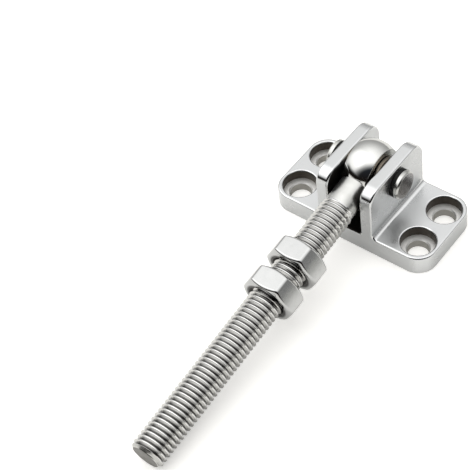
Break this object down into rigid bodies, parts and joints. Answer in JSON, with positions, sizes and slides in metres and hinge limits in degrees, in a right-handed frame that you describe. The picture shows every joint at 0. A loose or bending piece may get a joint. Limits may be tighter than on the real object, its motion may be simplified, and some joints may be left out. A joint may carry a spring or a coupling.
{
  "type": "adjustable gate hinge",
  "caption": "Adjustable gate hinge: a two-eared screw-on plate carries a pivoting threaded eye bolt with adjusting and lock nuts",
  "frame": {"origin": "centre of the four screw holes, on the back face of the plate", "axes": "+Z out of the plate's front, X along the hinge pin and the plate's length, the eye bolt lying towards -Y"},
  "size_m": [0.064, 0.1406, 0.0322],
  "materials": {
    "bracket_steel": "satin ground stainless casting with bright edges",
    "pin_steel": "turned stainless with formed ends",
    "collar_nylon": "black nylon, slightly dull",
    "washer_steel": "bright rolled stainless",
    "eye_bolt_steel": "polished stainless ball and neck, rolled thread",
    "nut_steel": "bright forged stainless with turned chamfers"
  },
  "bodies": {
    "bracket": {"bracket": "bracket_steel", "hinge_pin": "pin_steel", "pin_collar_right": "collar_nylon", "pin_collar_left": "collar_nylon", "thrust_washer_right": "washer_steel", "thrust_washer_left": "washer_steel"},
    "eye_bolt": {"eye_bolt": "eye_bolt_steel"},
    "upper_nut": {"upper_nut": "nut_steel"},
    "lower_nut": {"lower_nut": "nut_steel"}
  },
  "joints": [
    {"name": "stud_swing", "type": "hinge", "parent": "bracket", "child": "eye_bolt", "pos_m": [0, 0, 0.0215], "axis": [-1, 0, 0], "range_deg": [-16.3, 210.7]},
    {"name": "upper_nut_travel", "type": "slide", "parent": "eye_bolt", "child": "upper_nut", "axis": [0, -0.9921, -0.1256], "range_m": [-0.0155, 0.0024]},
    {"name": "lower_nut_travel", "type": "slide", "parent": "eye_bolt", "child": "lower_nut", "axis": [0, -0.9921, -0.1256], "range_m": [-0.0024, 0.0625]}
  ]
}
